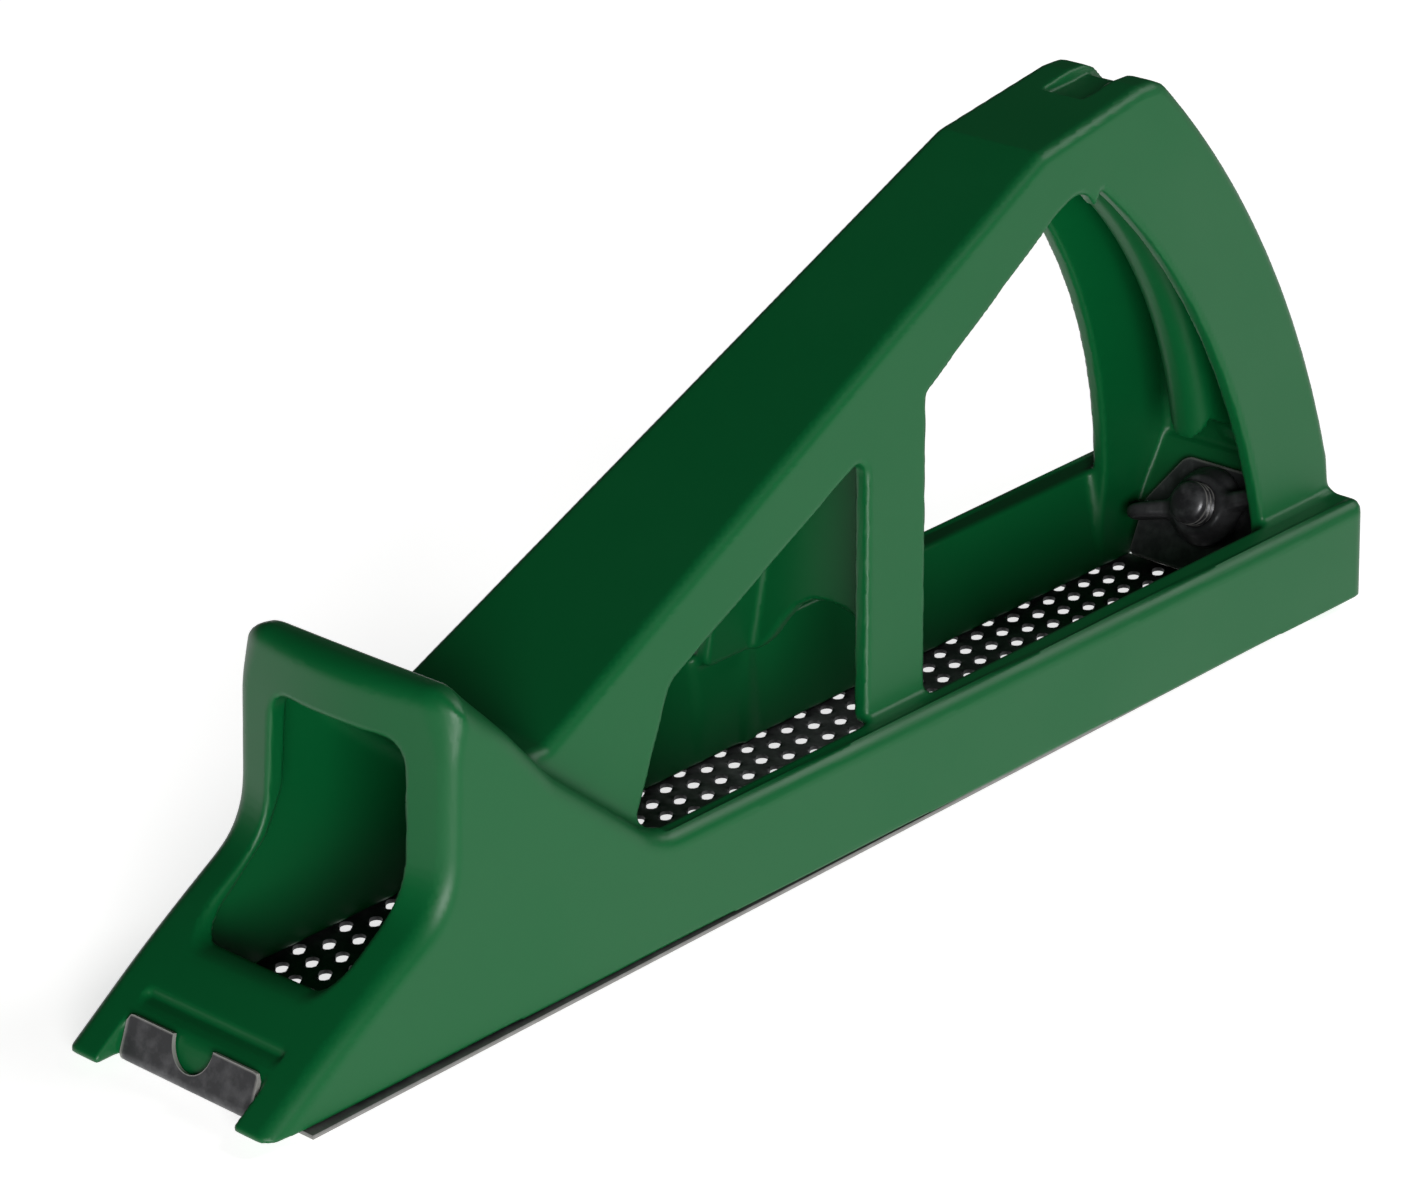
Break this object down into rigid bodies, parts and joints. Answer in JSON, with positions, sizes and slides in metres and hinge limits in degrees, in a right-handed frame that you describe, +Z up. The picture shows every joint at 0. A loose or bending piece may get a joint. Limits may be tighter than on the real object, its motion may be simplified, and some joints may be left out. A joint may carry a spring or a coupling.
{
  "type": "hand rasp plane",
  "caption": "Moulded hand rasp plane with a front horn, a bow handle and a perforated rasp blade held tight by a wing nut.",
  "frame": {"origin": "middle of the length and width, on the plane of the blade's tooth tips", "axes": "-X towards the nose, +X towards the heel, +Z up from the work"},
  "size_m": [0.2626, 0.0546, 0.106],
  "materials": {
    "body_plastic": "moulded green polypropylene, satin",
    "blade_steel": "blackened pressed steel",
    "bolt_steel": "black oxide",
    "nut_casting": "black coated casting",
    "plate_steel": "blackened pressed steel"
  },
  "bodies": {
    "body": {"body": "body_plastic", "tension_bolt": "bolt_steel"},
    "blade": {"blade": "blade_steel"},
    "tension_carriage": {"tension_plate": "plate_steel"},
    "wing_nut": {"wing_nut": "nut_casting"}
  },
  "joints": [
    {"name": "tension_slide", "type": "slide", "parent": "body", "child": "tension_carriage", "axis": [-0.891, 0, 0.454], "range_m": [0, 0.00313]},
    {"name": "wing_nut_turn", "type": "hinge", "parent": "tension_carriage", "child": "wing_nut", "pos_m": [0.11386, 0, 0.01846], "axis": [-0.891, 0, 0.454], "range_deg": [0, 900]},
    {"name": "blade_slack", "type": "slide", "parent": "body", "child": "blade", "axis": [-1, 0, 0], "range_m": [0, 0.0028]}
  ],
  "couplings": [
    {"joint": "wing_nut_turn", "follows": "tension_slide", "rad_per_m": 5026.5},
    {"joint": "blade_slack", "follows": "tension_slide", "ratio": 0.891}
  ]
}
